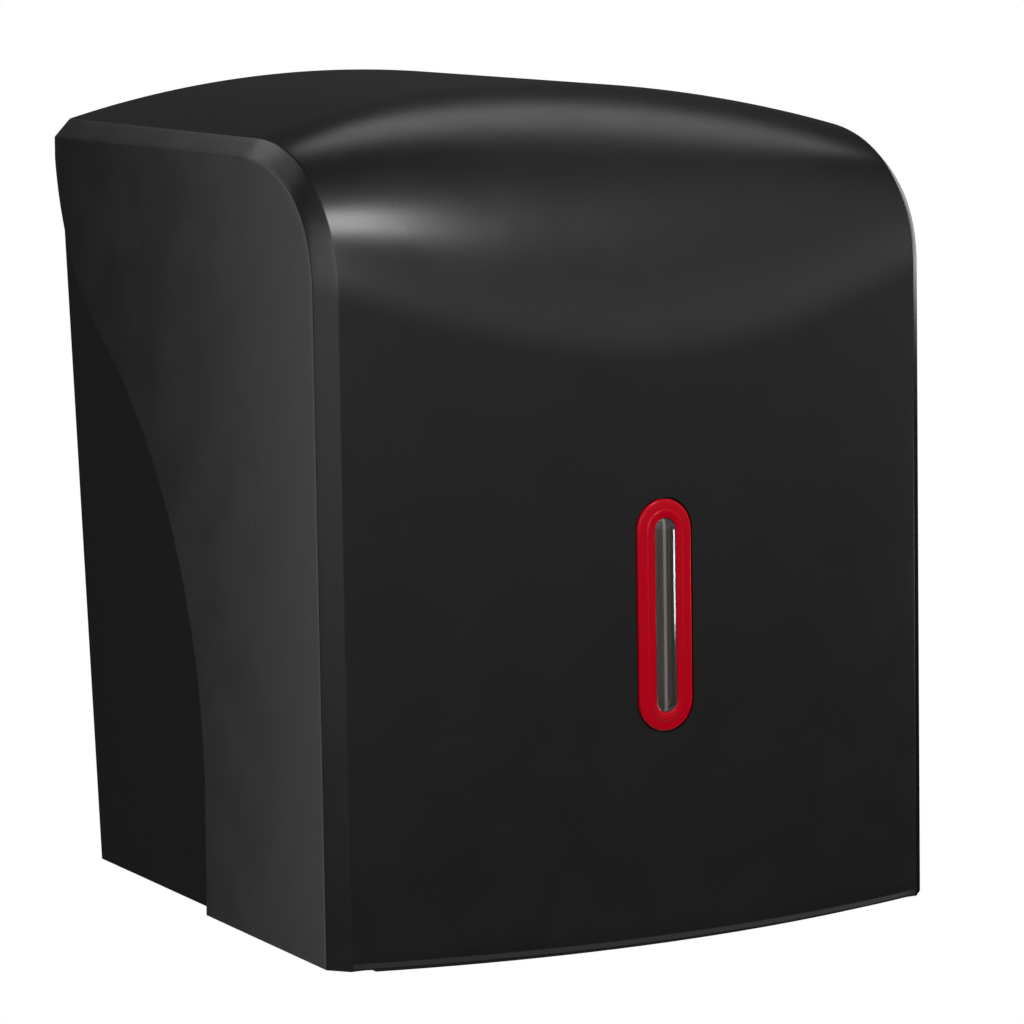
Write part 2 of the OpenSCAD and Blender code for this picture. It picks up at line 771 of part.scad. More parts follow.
on_wall() front_cover();
on_wall() window_bezel();
on_wall() window_lens();
on_wall() window_retainer();
on_wall() retainer_screws();
on_wall() mirror([1, 0, 0]) hinge_pin();  // hinge_pin_left
on_wall() hinge_pin();  // hinge_pin_right
on_wall() lock_case();
on_wall() lock_nut();
on_wall() lock_plug();
on_wall() lock_cam();
on_wall() cam_screw();
on_wall() rear_housing();
on_wall() mirror([1, 0, 0]) hinge_bush();  // hinge_bush_left
on_wall() hinge_bush();  // hinge_bush_right
on_wall() strike_plate();
on_wall() strike_screws();
on_wall() roll_shelf();
on_wall() shelf_screws();
on_wall() paper_nozzle();
on_wall() nozzle_collar();
on_wall() tear_ring();
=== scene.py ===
"""Looks of a wall dispenser for centrefeed paper rolls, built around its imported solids.

The frame is in metres: X to the right as seen from the front, Y into the wall, Z up.
"""
import json
import math

import bpy
import numpy as np
from bpy.props import FloatProperty, FloatVectorProperty, PointerProperty
from mathutils import Matrix, Vector


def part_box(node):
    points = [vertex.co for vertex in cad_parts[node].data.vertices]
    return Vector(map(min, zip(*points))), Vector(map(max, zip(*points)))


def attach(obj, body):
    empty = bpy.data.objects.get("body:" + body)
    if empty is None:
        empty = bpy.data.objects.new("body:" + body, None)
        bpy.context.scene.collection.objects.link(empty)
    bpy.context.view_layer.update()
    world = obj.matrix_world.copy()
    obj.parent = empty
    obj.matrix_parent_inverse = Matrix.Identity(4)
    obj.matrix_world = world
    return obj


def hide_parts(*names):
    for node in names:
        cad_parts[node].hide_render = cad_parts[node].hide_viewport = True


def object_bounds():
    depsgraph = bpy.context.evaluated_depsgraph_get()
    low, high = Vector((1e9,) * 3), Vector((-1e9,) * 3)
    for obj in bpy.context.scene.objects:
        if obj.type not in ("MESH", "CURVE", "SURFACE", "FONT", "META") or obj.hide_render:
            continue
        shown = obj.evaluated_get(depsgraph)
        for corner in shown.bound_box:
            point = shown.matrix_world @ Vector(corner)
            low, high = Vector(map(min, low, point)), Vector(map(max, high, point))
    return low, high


bl_info = {
    "name": "Centrefeed dispenser",
    "version": (1, 0, 0),
    "blender": (4, 5, 0),
    "location": "3D View > Sidebar > Dispenser",
    "description": "Builds the cover, window and finishes of a wall dispenser for paper rolls",
    "category": "Object",
}

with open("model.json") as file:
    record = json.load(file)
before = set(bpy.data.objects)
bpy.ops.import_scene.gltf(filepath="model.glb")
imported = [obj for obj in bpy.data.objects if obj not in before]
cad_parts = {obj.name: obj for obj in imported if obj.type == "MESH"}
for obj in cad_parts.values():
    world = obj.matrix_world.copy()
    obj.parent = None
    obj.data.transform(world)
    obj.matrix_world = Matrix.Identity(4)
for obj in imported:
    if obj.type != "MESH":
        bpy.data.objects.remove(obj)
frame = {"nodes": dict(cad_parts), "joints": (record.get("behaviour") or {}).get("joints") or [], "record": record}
CAD_BOX = [list(corner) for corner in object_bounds()]
COVER_LOW, COVER_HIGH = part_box("front_cover")
HINGE = next(j for j in frame["joints"] if j["name"] == "cover_hinge")
LOCK = next(j for j in frame["joints"] if j["name"] == "lock_turn")

# Steps of the cover's mesh, and the spacing of its points round the window
PANE_SPACING = 0.002
PANE_COLUMNS = 12
PANE_ROWS = 26
FLANK_STEPS = 23
FILLET_STEPS = 6
BEVEL_STEPS = 3
FOOT_STEPS = 5
LIP_STEPS = 4
BELOW_STEPS = 15
FRONT_STEPS = 21
CORNER_STEPS = 40
TOP_STEPS = 27

# Heights on the swept edge where the rows of the corner and of the top start
SWEEP_CORNER = 0.205
SWEEP_TOP = 0.250

# Places of the sides' columns between the front edge and the swept edge, closer at both ends
SIDE_PARTS = (0.012, 0.05, 0.12, 0.2, 0.3, 0.4, 0.5, 0.6, 0.7, 0.8, 0.88, 0.95, 0.988, 1)

# Distance within which a point counts as lying on a flat side
ON_SIDE = 0.000005

# Reach of the mesh's patch round the lock's hole, in radii of the hole
LOCK_PATCH = 1.9

# Angle between faces up to which they are shaded smooth, and past which an open edge is rounded
SMOOTH_ANGLE = math.radians(35)
RIM_ANGLE = math.radians(55)

# Share of a lens facet's width at which a ring keeps it flat, and the angle at which the face's arc ends
FACET_EDGE = 0.06
FACE_END = 89.5

# Middle part of a pattern's range, which is spread between two values
PATTERN_LOW = 0.3
PATTERN_HIGH = 0.7


# Sizes and colours that can be changed

def metres(name, description, default):
    """A size in metres."""
    return FloatProperty(name=name, description=description, default=default, unit="LENGTH", precision=5)


def angle(name, description, degrees):
    """An angle, given in degrees."""
    return FloatProperty(name=name, description=description, default=math.radians(degrees), unit="ROTATION")


def ratio(name, description, default):
    """A part of a whole."""
    return FloatProperty(name=name, description=description, default=default, subtype="FACTOR", min=0, max=1)


def colour(name, description, default):
    """A surface colour, in linear light."""
    return FloatVectorProperty(name=name, description=description, default=default, subtype="COLOR",
                               min=0, max=1)


class CoverSizes(bpy.types.PropertyGroup):
    """Sizes of the moulded cover."""
    side_depth: metres("Side depth", "Depth of the sides at their lower edge, from the wall", 0.224)
    side_height: metres("Side height", "Height of the flat sides", 0.278)
    wall: metres("Wall", "Wall thickness", 0.0026)
    lean: angle("Lean", "Lean of the front towards the wall", 1.8)
    top_reach: metres("Top reach", "Length of the corner along the top, at the sides", 0.0536)
    front_reach: metres("Front reach", "Length of the corner down the front, at the sides", 0.0431)
    fullness: ratio("Fullness", "Share of its reaches that the corner's handles take, at the sides", 0.62)
    crown_reach: metres("Crown reach", "Length of the corner along top and front, at the crown", 0.0937)
    crown_fullness: ratio("Crown fullness", "The fullness at the crown", 0.5523)
    crown_power: FloatProperty(name="Crown power", default=1.35, subtype="UNSIGNED",
                               description="Power with which the corner changes from the sides to the crown")
    bevel_across: metres("Bevel across", "Bevel at the sides, measured across the front", 0.0064)
    bevel_rise: metres("Bevel rise", "Rise of the bevel, from the side to the front", 0.0068)
    bow: metres("Bow", "Rise of the bowed front and top, from the bevel to the middle", 0.0164)
    front_round: metres("Front rounding", "Radius where the bow meets the bevel", 0.0022)
    side_round: metres("Side rounding", "Radius where the bevel meets the side", 0.0008)
    lip_height: metres("Lip height", "Height of the chamfer at the front's lower edge", 0.0020)
    lip_depth: metres("Lip depth", "How far that chamfer turns inwards", 0.0013)
    lip_round: metres("Lip rounding", "Half the length that is rounded at both ends of the chamfer", 0.0003)
    lip_land: metres("Lip land", "Height of the plain edge under the chamfer", 0.0006)
    rim_round: metres("Rim rounding", "Radius of the open edges", 0.0004)
    sweep_depth: metres("Sweep depth", "Depth of the sides' straight rear edge, from the wall", 0.1283)
    sweep_straight: metres("Sweep straight", "Height of that straight edge", 0.040)
    sweep_radius: metres("Sweep radius", "Radius of the arc above it", 0.200)
    sweep_over: metres("Sweep over", "Height over the side at which the upper arc meets the wall", 0.006)
    lock_flange: metres("Lock flange", "How far the lock's flange reaches past its barrel", 0.002)
    pin_radius: metres("Pin radius", "Radius of the holes for the hinge pins", 0.003)
    boss_radius: metres("Boss radius", "Radius of the bosses that hold the hinge pins", 0.008)
    boss_gap: metres("Boss gap", "Clearance between a boss and its bush", 0.0003)
    peg_radius: metres("Peg radius", "Radius of the stop pegs", 0.0025)
    peg_chamfer: metres("Peg chamfer", "Chamfer of the pegs' ends", 0.0004)
    peg_orbit: metres("Peg orbit", "Distance of the pegs from the hinge's axis", 0.013)
    peg_turn: angle("Peg turn", "Direction of the pegs from that axis", -18.17)


class WindowSizes(bpy.types.PropertyGroup):
    """Sizes of the window in the cover's front."""
    height: metres("Height", "Height of its centre over the cover's lower edge", 0.1174)
    ring_width: metres("Ring width", "Width of the red ring", 0.0221)
    ring_length: metres("Ring length", "Length of the red ring", 0.0827)
    open_width: metres("Opening width", "Width of the ring's opening", 0.0084)
    open_length: metres("Opening length", "Length of the ring's opening", 0.0690)
    neck_width: metres("Neck width", "Width of the ring's neck", 0.0146)
    neck_length: metres("Neck length", "Length of the ring's neck", 0.0794)
    recess: metres("Recess", "Depth of the recess that the ring lies in", 0.0018)
    proud: metres("Proud", "Height of the ring's flange above the front", 0.0008)
    edge_round: metres("Edge rounding", "Radius of the flange's outer edge", 0.0010)
    step_width: metres("Step width", "Width of the ring where its flange slants up", 0.0150)
    step: metres("Step", "Height of that slanted step", 0.00045)
    step_round: metres("Step rounding", "Radius of the step's upper edge", 0.0003)
    mouth_height: metres("Mouth height", "Height of the opening's rounded edge above the front", 0.00105)
    mouth_round: metres("Mouth rounding", "Radius of that edge", 0.0007)
    lens_height: metres("Lens height", "Height of the lens above the front", 0.0019)
    lens_radius: metres("Lens radius", "Radius of the lens's face across the window", 0.0160)
    lens_facet: metres("Lens facet", "Width of the flat facet along each side of the lens's face", 0.0011)
    facet_tilt: angle("Facet tilt", "Tilt of that facet towards the side", 27)
    facet_round: metres("Facet rounding", "Radius of the facet's edges", 0.0005)
    lens_rim: metres("Lens rim", "Width of the lens's rim behind the ring", 0.0010)
    lens_plate: metres("Lens plate", "Thickness of that rim", 0.0018)
    # Painted highlight: place and half width of a brighter, cloudier band down the lens that stands in for a light
    # streak
    painted_streak_across: metres("Painted streak across", "Place of the painted streak in the lens, across the window", -0.0009)
    painted_streak_half: metres("Painted streak half", "Half the width of that painted streak", 0.0012)
    shadow_gap: metres("Shadow gap", "Open joint round the ring", 0.0007)
    gap: metres("Gap", "Clearance of the neck and the lens, on each side", 0.0002)
    pad: metres("Pad", "Thickness of the pad behind the ring", 0.0024)
    pad_edge: metres("Pad edge", "Width of the pad round the ring", 0.006)


class Finishes(bpy.types.PropertyGroup):
    """Colours of the finishes."""
    cover: colour("Cover black", "Satin black plastic of the cover", (0.0062, 0.0062, 0.0065))
    # Darker than the cover's black partly as its own plastic and partly as painted shade, for the shade the cover
    # casts on the housing's side
    housing: colour("Housing black", "Black plastic of the housing", (0.0047, 0.0047, 0.0049))
    inner: colour("Inner black", "Matt black plastic of the inner plates", (0.010, 0.010, 0.0105))
    ring: colour("Ring red", "Glossy red plastic of the window's ring", (0.475, 0.0004, 0.0095))
    lens: colour("Lens", "Clear plastic of the window", (0.50, 0.45, 0.43))
    bush: colour("Bush white", "White plastic of the hinge bushes", (0.62, 0.60, 0.56))
    nozzle: colour("Nozzle grey", "Grey plastic of the outlet", (0.20, 0.205, 0.21))
    steel: colour("Steel", "Zinc-plated steel of pins, screws and plates", (0.56, 0.57, 0.58))
    chrome: colour("Chrome", "Plated brass of the lock", (0.66, 0.66, 0.67))
    floor: colour("Floor", "Pale floor of the studio", (0.80, 0.80, 0.79))


class StageSizes(bpy.types.PropertyGroup):
    """Camera and studio."""
    place: FloatVectorProperty(name="Camera place", description="Where the camera stands", subtype="XYZ",
                               unit="LENGTH", default=(-0.79877, -1.53812, 0.22686))
    azimuth: angle("Azimuth", "Turn of the camera round the object", -29.6424)
    elevation: angle("Elevation", "Height of the camera's view", 7.9648)
    lens: FloatProperty(name="Lens", description="Focal length, in millimetres", default=153.35, min=1,
                        unit="CAMERA")
    sensor: FloatProperty(name="Sensor", description="Width of the sensor, in millimetres", default=36, min=1,
                          unit="CAMERA")
    floor_drop: metres("Floor drop", "Depth of the floor under the object", 0.85)
    floor_size: metres("Floor size", "Half the floor's side", 2.0)


# Meshes from whole arrays

def grid_faces(index, keep=None):
    """Quads between the neighbours of an index grid; keep says which cells are filled."""
    quads = np.stack([index[:-1, :-1], index[:-1, 1:], index[1:, 1:], index[1:, :-1]], axis=-1)
    return quads.reshape(-1, 4) if keep is None else quads[keep]


def ring_faces(index):
    """Quads between the rings of an index grid, each ring closed on itself."""
    return grid_faces(np.concatenate([index, index[:, :1]], axis=1))


def volume(points, faces):
    """Signed volume inside quads or triangles: the sum of the tetrahedra to the origin."""
    a, b, c = points[faces[:, 0]], points[faces[:, 1]], points[faces[:, 2]]
    total = np.einsum("ij,ij->i", a, np.cross(b, c)).sum()
    if faces.shape[1] == 4:
        total += volume(points, faces[:, [0, 2, 3]]) * 6
    return total / 6


def solid(points, *groups):
    """One closed solid as points and groups of faces, turned so that its faces point outwards."""
    inside = sum(volume(points, group) for group in groups)
    order = 1 if inside > 0 else -1
    return points, [group[:, ::order] for group in groups]


def new_piece(name, solids, material):
    """Joins solids into one object of the frame, smooth up to an angle between its faces."""
    starts = np.cumsum([0] + [len(points) for points, groups in solids])
    points = np.concatenate([points for points, groups in solids])
    faces = []
    for start, (_, groups) in zip(starts, solids):
        for group in groups:
            faces += (group + start).tolist()
    mesh = bpy.data.meshes.new(name)
    mesh.from_pydata(points.tolist(), [], faces)
    mesh.shade_smooth()
    mesh.set_sharp_from_angle(angle=SMOOTH_ANGLE)
    mesh.materials.append(material)
    piece = bpy.data.objects.new(name, mesh)
    bpy.context.scene.collection.objects.link(piece)
    return piece


def turned(profile, centre, steps=48):
    """Solid turned about an axis along X: a profile of (place along X, radius) from axis to axis."""
    along, radius = np.array(profile, float).T
    turn = np.linspace(0, 2 * math.pi, steps, endpoint=False)
    rings = np.stack(np.broadcast_arrays(along[1:-1, None],
                                         centre[1] + radius[1:-1, None] * np.cos(turn),
                                         centre[2] + radius[1:-1, None] * np.sin(turn)), axis=-1)
    index = np.arange(rings.shape[0] * steps).reshape(-1, steps)
    poles = np.array([[along[0], centre[1], centre[2]], [along[-1], centre[1], centre[2]]])
    points = np.concatenate([rings.reshape(-1, 3), poles])
    first, last = index[0], index[-1]
    start = np.full(steps, index.size)
    fans = np.concatenate([np.stack([start, first, np.roll(first, -1)], axis=-1)[:, ::-1],
                           np.stack([start + 1, last, np.roll(last, -1)], axis=-1)])
    return solid(points, ring_faces(index)[:, ::-1], fans[:, ::-1])


# Form of the cover: a bowed and bevelled section carried up the front, round the corner and to the wall

class CoverForm:
    """The cover's driving sizes and what follows from them, in depth from the wall and height."""

    def __init__(self, sizes, window):
        self.sizes = sizes
        self.window = window
        self.half = COVER_HIGH.x
        self.low = COVER_LOW.z
        self.rear = -COVER_HIGH.y
        chord = self.half - sizes.bevel_across
        self.bow_radius = (chord ** 2 + sizes.bow ** 2) / (2 * sizes.bow)
        self.rise = sizes.bevel_rise + sizes.bow
        self.lean = np.array([math.cos(sizes.lean), math.sin(sizes.lean)])
        self.climb = np.array([-math.sin(sizes.lean), math.cos(sizes.lean)])
        self.window_along = (window.height - self.rise * self.lean[1]) / self.lean[0]

    def bow_height(self, across, inset):
        """Height of the bowed surface over the sides' edge: a circle drawn in by the inset."""
        centre = self.rise - self.bow_radius
        return centre + np.sqrt((self.bow_radius - inset) ** 2 - across ** 2)

    def bevel_line(self, across, inset):
        """Height of the bevel's straight line at a place across, drawn in by the inset."""
        s = self.sizes
        slant = math.hypot(s.bevel_across, s.bevel_rise)
        return ((self.half - across) * s.bevel_rise - inset * slant) / s.bevel_across

    def section(self, inset, front_round, side_round):
        """Half of the section, from the crown to the side, as arrays across and up.

        The bow is an arc. A fillet, whose centre lies on the offset bow and the offset bevel, leads
        into the straight bevel, and a second one, on the offset bevel and side, into the flat side.
        """
        s = self.sizes
        slope = s.bevel_rise / s.bevel_across
        inner = inset + front_round
        reach = self.bow_radius - inner
        base = self.bevel_line(0, inner) - (self.rise - self.bow_radius)
        a, b, c = 1 + slope ** 2, -2 * slope * base, base ** 2 - reach ** 2
        root = math.sqrt(b * b - 4 * a * c)
        across = (-b - root) / (2 * a)
        first = np.array([across, self.bevel_line(across, inner)])
        edge = self.half - inset - side_round
        second = np.array([edge, self.bevel_line(edge, inset + side_round)])
        bow_tilt = math.asin(first[0] / reach)
        bevel_tilt = math.atan2(s.bevel_rise, s.bevel_across)
        bow_end = (self.bow_radius - inset) * math.sin(bow_tilt)
        middle = np.arange(PANE_COLUMNS + 1) * PANE_SPACING
        flank = np.linspace(middle[-1], bow_end, FLANK_STEPS + 1)[1:-1]
        x = np.concatenate([middle, flank])
        tilt = np.linspace(bow_tilt, bevel_tilt, FILLET_STEPS + 1)
        last = np.linspace(bevel_tilt, math.pi / 2, FOOT_STEPS + 1)
        arc = first[:, None] + front_round * np.array([np.sin(tilt), np.cos(tilt)])
        foot = second[:, None] + side_round * np.array([np.sin(last), np.cos(last)])
        share = np.linspace(0, 1, BEVEL_STEPS + 1)[1:-1]
        bevel = arc[:, -1:] + (foot[:, :1] - arc[:, -1:]) * share
        across = np.concatenate([x, arc[0], bevel[0], foot[0]])
        up = np.concatenate([self.bow_height(x, inset), arc[1], bevel[1], foot[1]])
        return across, up

    def lower_rows(self):
        """Distances up the front of the rows that lie level: lip, lower front and window."""
        s = self.sizes
        turn = s.lip_round * np.linspace(-1, 1, LIP_STEPS + 1)
        lip = np.concatenate([[0], s.lip_land + turn, s.lip_land + s.lip_height + turn])
        pane = self.window_along + np.arange(-PANE_ROWS, PANE_ROWS + 1) * PANE_SPACING
        below = np.linspace(lip[-1], pane[0], BELOW_STEPS + 1)[1:-1]
        return np.concatenate([lip, below, pane])

    def upper_rows(self, up, inset):
        """Grids of depth and height above the window: the rest of the front, the corner and the top.

        Front and top meet in a sharp corner. A cubic curve leaves the front one reach below it and joins
        the top one reach behind it, and its handles take up a share of the reaches, the fullness. From the
        sides to the crown reaches and fullness change with a power of the height over the sides.
        """
        s = self.sizes
        grow = np.clip((up + inset) / self.rise, 0, 1) ** s.crown_power
        back = s.top_reach + (s.crown_reach - s.top_reach) * grow - inset
        down = s.front_reach + (s.crown_reach - s.front_reach) * grow - inset
        full = s.fullness + (s.crown_fullness - s.fullness) * grow
        peak = (s.side_height + up * (1 - self.lean[1])) / self.climb[1]
        start = self.lower_rows()[-1]
        front = start + (peak - down - start) * np.linspace(0, 1, FRONT_STEPS + 1)[1:, None]
        t = np.linspace(0, 1, CORNER_STEPS + 1)[1:, None]
        below = down * ((1 - t) ** 3 + 3 * t * (1 - t) ** 2 * (1 - full))
        behind = back * (t ** 3 + 3 * t ** 2 * (1 - t) * (1 - full))
        along = np.concatenate([front, peak - below])
        depth = s.side_depth + along * self.climb[0] + up * self.lean[0]
        depth[FRONT_STEPS:] -= behind
        height = along * self.climb[1] + up * self.lean[1]
        level = depth[-1] + (self.rear - depth[-1]) * np.linspace(0, 1, TOP_STEPS + 1)[1:, None]
        flat = np.broadcast_to(s.side_height + up, level.shape)
        return np.concatenate([depth, level]), np.concatenate([height, flat])

    def sweep_rows(self, rise):
        """Points of the swept rear edge, in depth and height, that the rows of the sides run to."""
        front = rise[:len(rise) - CORNER_STEPS - TOP_STEPS]
        corner = np.linspace(0, 1, CORNER_STEPS + 1)[1:]
        top = np.linspace(0, 1, TOP_STEPS + 1)[1:]
        return np.concatenate([self.sweep_heights(front / front[-1], 0, SWEEP_CORNER),
                               self.sweep_heights(corner, SWEEP_CORNER, SWEEP_TOP),
                               self.sweep_heights(top, SWEEP_TOP, None)])

    def sweep_heights(self, share, start, end):
        """Points of the swept rear edge at shares of the way between two heights, in depth and height.

        A straight edge, then an arc about a centre behind the wall, then an arc that curls up to the wall.
        Without an end the way leads to the wall.
        """
        s = self.sizes
        low = np.array([s.sweep_depth - s.sweep_radius, s.sweep_straight])
        head = s.side_height + s.sweep_over
        span = head - s.sweep_straight
        high = (low[0] ** 2 + span ** 2 - s.sweep_radius ** 2) / (2 * s.sweep_depth)
        if end is None:
            end = head - math.sqrt(high ** 2 - (high - self.rear) ** 2)
        height = start + (end - start) * np.asarray(share, float)
        meet = low + (np.array([high, head]) - low) * s.sweep_radius / (s.sweep_radius + high)
        rise = np.maximum(height - s.sweep_straight, 0)
        lower = low[0] + np.sqrt(np.maximum(s.sweep_radius ** 2 - rise ** 2, 0))
        upper = high - np.sqrt(np.maximum(high ** 2 - (head - height) ** 2, 0))
        return np.stack([np.where(height < meet[1], lower, upper), height], axis=1)

    def place(self, across, depth, height):
        """Points of the frame from a place across, a depth from the wall and a height."""
        return np.stack(np.broadcast_arrays(across, -depth, height + self.low), axis=-1)

    def on_front(self, across, along, up):
        """Points over the leaning front: across, up the front and outwards from the sides' edge."""
        depth = self.sizes.side_depth + along * self.climb[0] + up * self.lean[0]
        return self.place(across, depth, along * self.climb[1] + up * self.lean[1])

    def bend(self, past):
        """A slope of one that starts where past is nought, with a rounded start."""
        r = self.sizes.lip_round
        return np.clip(past + r, 0, 2 * r) ** 2 / (4 * r) + np.maximum(past - r, 0)

    def skin(self, inset, front_round, side_round, lip_depth):
        """Grid of one face of the cover: rows up the path, columns from the left rear edge to the right.

        Each point lies on the section, set out from the front or the top. Near the lower edge the rows
        slide along the front until they lie level, and a chamfer with rounded ends draws them in.
        """
        s = self.sizes
        along = self.lower_rows()
        across, up = self.section(inset, front_round, side_round)
        lip = self.bend(s.lip_land + s.lip_height - along) - self.bend(s.lip_land - along)
        inside = np.clip((self.half - s.bevel_across - across) / s.front_round, 0, 1)
        out = up - lip[:, None] * inside * lip_depth / s.lip_height
        level = np.clip(1 - along / s.sweep_straight, 0, 1) * math.tan(s.lean)
        slide = along[:, None] - out * level[:, None]
        above = self.upper_rows(up, inset)
        depth = np.concatenate([s.side_depth + slide * self.climb[0] + out * self.lean[0], above[0]])
        rise = np.concatenate([slide * self.climb[1] + out * self.lean[1], above[1]])
        sweep = self.sweep_rows(rise[:, -1])
        part = np.array(SIDE_PARTS)
        side_depth = depth[:, -1:] + (sweep[:, :1] - depth[:, -1:]) * part
        side_rise = rise[:, -1:] + (sweep[:, 1:] - rise[:, -1:]) * part
        half = self.place(np.concatenate([across, np.full(len(part), across[-1])]),
                          np.concatenate([depth, side_depth], axis=1),
                          np.concatenate([rise, side_rise], axis=1))
        left = half[:, :0:-1] * np.array([-1, 1, 1])
        return np.concatenate([left, half], axis=1)


def window_loop(points, width, length):
    """Points of a round-ended outline, each one facing a point outside it.

    The nearest point of the outline's spine is found, and the outline lies half a width from it.
    """
    spine = np.zeros_like(points)
    reach = (length - width) / 2
    spine[:, 1] = np.clip(points[:, 1], -reach, reach)
    away = points - spine
    return spine + away / np.linalg.norm(away, axis=1, keepdims=True) * width / 2


def border(rows, columns):
    """Row and column numbers round the edge of a block of grid points, once round from its first corner."""
    across, up = np.arange(*columns), np.arange(*rows)
    row = [np.full(across.size, rows[0]), up, np.full(across.size, rows[1]), up[::-1] + 1]
    column = [across, np.full(up.size, columns[1]), across[::-1] + 1, np.full(up.size, columns[0])]
    return np.concatenate(row), np.concatenate(column)


def block_round(mask):
    """First and last row, and first and last column, of the grid points that a mask holds."""
    rows = np.flatnonzero(mask.any(axis=1))
    columns = np.flatnonzero(mask.any(axis=0))
    return (rows[0], rows[-1]), (columns[0], columns[-1])


def between(first, last, steps):
    """Loops that lead evenly from one loop to another, without the first."""
    share = np.linspace(0, 1, steps + 1)[1:, None, None]
    return first + (last - first) * share


def window_rings(form, outline):
    """Loops from the outer skin through the window's recess, ledge, neck and pad to the inner skin."""
    s, w = form.sizes, form.window
    slack = 2 * w.gap

    def loop(width, length):
        return window_loop(outline, width, length)

    def at(flat, up):
        return form.on_front(flat[..., 0], flat[..., 1] + form.window_along, up)

    recess = loop(w.ring_width + 2 * w.shadow_gap, w.ring_length + 2 * w.shadow_gap)
    neck = loop(w.neck_width + slack, w.neck_length + slack)
    pad = loop(w.ring_width + 2 * w.pad_edge, w.ring_length + 2 * w.pad_edge)
    back = form.rise - s.wall - w.pad
    outer = between(outline, recess, steps=4)
    inner = between(pad, outline, steps=3)[:-1]
    return np.concatenate([
        at(outer, form.bow_height(outer[..., 0], 0)),
        at(recess, form.rise - w.recess)[None], at(neck, form.rise - w.recess)[None],
        at(neck, back)[None], at(pad, back)[None],
        at(pad, form.bow_height(pad[:, 0], s.wall))[None],
        at(inner, form.bow_height(inner[..., 0], s.wall)),
    ])


def lock_rings(form, outline, radius):
    """Loops from the outer face of the side through the lock's round hole to its inner face."""
    hole = window_loop(outline, 2 * radius, 2 * radius)
    centre = np.array([-LOCK["pos_m"][1], LOCK["pos_m"][2] - form.low])

    def at(flat, across):
        return form.place(across, flat[..., 0] + centre[0], flat[..., 1] + centre[1])

    return np.concatenate([at(between(outline, hole, steps=2), form.half),
                           at(hole, form.half - form.sizes.wall)[None],
                           at(between(hole, outline, steps=2)[:-1], form.half - form.sizes.wall)])


def cover_shell(form, lock_radius):
    """The cover's wall: an outer and an inner skin, rims between their edges, a window and a lock hole."""
    s = form.sizes
    outer = form.skin(0, s.front_round, s.side_round, s.lip_depth)
    inner = form.skin(s.wall, s.side_round, s.side_round, 0)
    shape = outer.shape[:2]
    index = np.arange(outer[..., 0].size).reshape(shape)
    behind = index + index.size
    along = form.lower_rows()
    flat = np.zeros(shape + (2,))
    flat[..., 0] = outer[..., 0]
    flat[:len(along), :, 1] = (along - form.window_along)[:, None]
    flat[len(along):, :, 1] = np.inf
    w = form.window
    reach = np.array([w.ring_width, (w.ring_length + w.ring_width) / 2])
    pane = (np.abs(flat) < reach).all(axis=-1)
    facing = np.stack([-outer[..., 1] + LOCK["pos_m"][1], outer[..., 2] - LOCK["pos_m"][2]], axis=-1)
    side = outer[..., 0] > form.half - ON_SIDE
    near = side & (np.linalg.norm(facing, axis=-1) < lock_radius * LOCK_PATCH)
    keep = np.ones((shape[0] - 1, shape[1] - 1), bool)
    points = [outer.reshape(-1, 3), inner.reshape(-1, 3)]
    faces = []
    count = 2 * index.size
    for mask, spots, rings in ((pane, flat, lambda o: window_rings(form, o)),
                               (near, facing, lambda o: lock_rings(form, o, lock_radius))):
        rows, columns = block_round(mask)
        keep[rows[0]:rows[1], columns[0]:columns[1]] = False
        loop = border(rows, columns)
        made = rings(spots[loop])
        numbers = count + np.arange(made[..., 0].size).reshape(made.shape[:2])
        faces.append(ring_faces(np.concatenate([index[loop][None], numbers, behind[loop][None]])))
        points.append(made.reshape(-1, 3))
        count += numbers.size
    faces += [grid_faces(index, keep), grid_faces(behind, keep)[:, ::-1],
              grid_faces(np.stack([behind[0], index[0]])), grid_faces(np.stack([index[-1], behind[-1]])),
              grid_faces(np.stack([behind[:, 0], index[:, 0]], axis=1)),
              grid_faces(np.stack([index[:, -1], behind[:, -1]], axis=1))]
    return solid(np.concatenate(points), np.concatenate(faces))


def hinge_forms(form):
    """Bosses with a blind hole for the hinge pins, and the stop pegs beside them, on both sides."""
    s = form.sizes
    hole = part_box("hinge_pin_right")[1].x
    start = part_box("hinge_bush_right")[1].x + s.boss_gap
    end = form.half - s.wall / 2
    boss = [(hole, 0), (hole, s.pin_radius), (start, s.pin_radius), (start, s.boss_radius),
            (end, s.boss_radius), (end, 0)]
    peg = [(start, 0), (start, s.peg_radius - s.peg_chamfer), (start + s.peg_chamfer, s.peg_radius),
           (end, s.peg_radius), (end, 0)]
    centre = np.array(HINGE["pos_m"])
    beside = centre + s.peg_orbit * np.array([0, math.cos(s.peg_turn), math.sin(s.peg_turn)])
    forms = []
    for sign in (1, -1):
        forms.append(turned([(sign * x, r) for x, r in boss], centre))
        forms.append(turned([(sign * x, r) for x, r in peg], beside, steps=24))
    return forms


# Pieces of the window: stacks of round-ended rings

def round_ended(width, length, turns=20, runs=24):
    """Round-ended outline about the origin, once round from the middle of its lower end.

    Half circles at both ends, with even steps, and straight sides between them.
    """
    reach = (length - width) / 2
    quarter = np.linspace(0, math.pi / 2, turns + 1)
    lower = np.stack([np.sin(quarter), -np.cos(quarter)], axis=1) * width / 2 - [0, reach]
    side = np.stack([np.full(runs - 1, width / 2), np.linspace(-reach, reach, runs + 1)[1:-1]], axis=1)
    right = np.concatenate([lower, side, (lower * [1, -1])[::-1]])
    return np.concatenate([right, (right * [-1, 1])[-2:0:-1]])


def ring_stack(form, stack):
    """Points of round-ended rings, given as (width, length, height over the crown of the front)."""
    rings = []
    for width, length, height in stack:
        flat = round_ended(width, length)
        rings.append(form.on_front(flat[:, 0], flat[:, 1] + form.window_along, form.rise + height))
    return np.array(rings)


